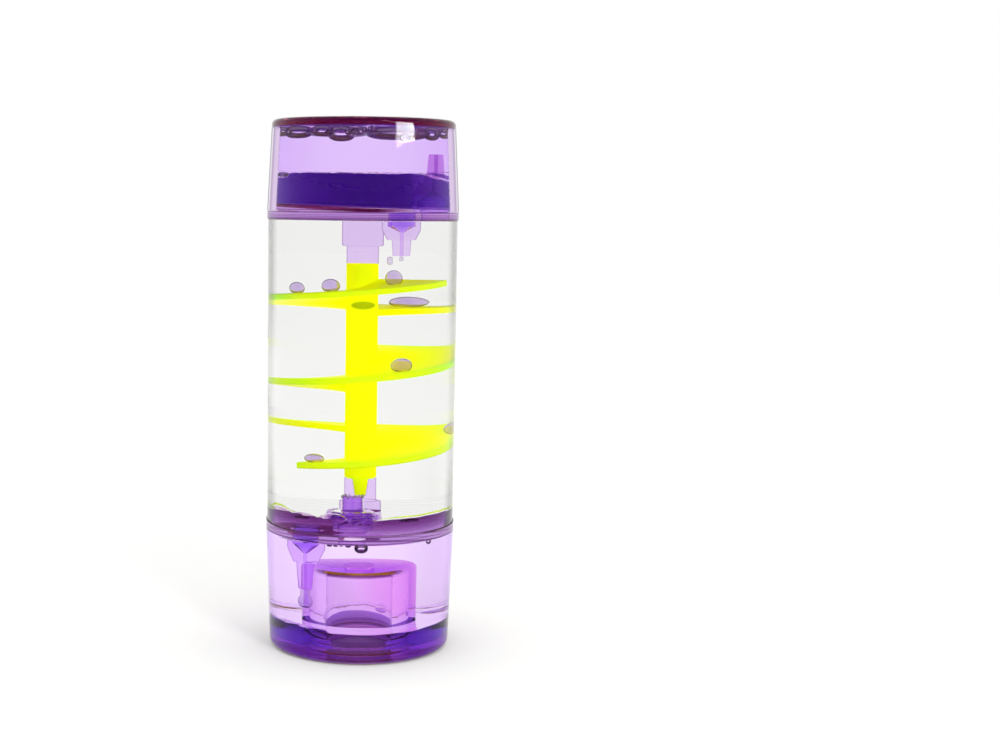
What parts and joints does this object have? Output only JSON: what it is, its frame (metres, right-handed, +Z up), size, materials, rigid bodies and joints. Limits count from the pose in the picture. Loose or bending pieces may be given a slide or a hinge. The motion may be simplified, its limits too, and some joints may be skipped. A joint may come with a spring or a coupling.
{
  "type": "liquid motion timer",
  "caption": "Sealed upright liquid timer: coloured drops fall from nozzles in divider plates and run down a spiral ramp in a clear tube.",
  "frame": {"origin": "centre of the foot, on the surface that the timer stands on", "axes": "+Z up along the tube, -Y towards the viewer, +X to the viewer's right"},
  "size_m": [0.0506, 0.0506, 0.14],
  "materials": {
    "clear_shell": "clear polished acrylic",
    "tinted_base": "lavender tinted acrylic, polished",
    "tinted_plate": "lavender tinted acrylic, polished",
    "tinted_cup": "purple tinted acrylic, polished",
    "ramp_plastic": "yellow-green fluorescent acrylic, polished",
    "coloured_liquid": "violet dyed water, wet",
    "coloured_drop": "violet dyed water, wet"
  },
  "bodies": {
    "case": {"base_cup": "tinted_base", "fill_plug": "tinted_base", "tube": "clear_shell", "lower_plate": "tinted_plate", "upper_plate": "tinted_plate", "ramp": "ramp_plastic", "top_shell": "clear_shell", "top_cup": "tinted_cup", "upper_pool": "coloured_liquid", "middle_pool": "coloured_liquid", "lower_pool": "coloured_liquid", "upper_well_dye": "coloured_liquid", "lower_well_dye": "coloured_liquid"},
    "falling_drops": {"falling_bead": "coloured_drop", "falling_drop": "coloured_drop"},
    "ramp_drops": {"landed_drop": "coloured_drop", "top_front_drop": "coloured_drop", "top_left_drop": "coloured_drop", "middle_front_drop": "coloured_drop", "bottom_right_drop": "coloured_drop"},
    "top_run_off_drops": {"top_back_drop": "coloured_drop", "top_end_drop": "coloured_drop"},
    "bottom_run_off_drop": {"bottom_end_drop": "coloured_drop"},
    "dripping_drop": {"hanging_drop": "coloured_drop"}
  },
  "joints": [
    {"name": "drops_fall", "type": "slide", "parent": "case", "child": "falling_drops", "axis": [0, 0, -1], "range_m": [0, 0.0031]},
    {"name": "drops_run_down", "type": "hinge", "parent": "falling_drops", "child": "ramp_drops", "pos_m": [0, 0, 0.075], "axis": [0, 0, -1], "range_deg": [0, 100]},
    {"name": "top_drops_run_off", "type": "slide", "parent": "case", "child": "top_run_off_drops", "axis": [0.9846, -0.1471, -0.0949], "range_m": [0, 0.003]},
    {"name": "bottom_drop_runs_off", "type": "slide", "parent": "case", "child": "bottom_run_off_drop", "axis": [-0.7806, 0.6187, -0.0891], "range_m": [0, 0.003]},
    {"name": "drop_drips", "type": "slide", "parent": "case", "child": "dripping_drop", "axis": [0, 0, -1], "range_m": [0, 0.0043]}
  ],
  "couplings": [
    {"joint": "drops_fall", "follows": "drops_run_down", "m_per_rad": 0.0017539}
  ]
}
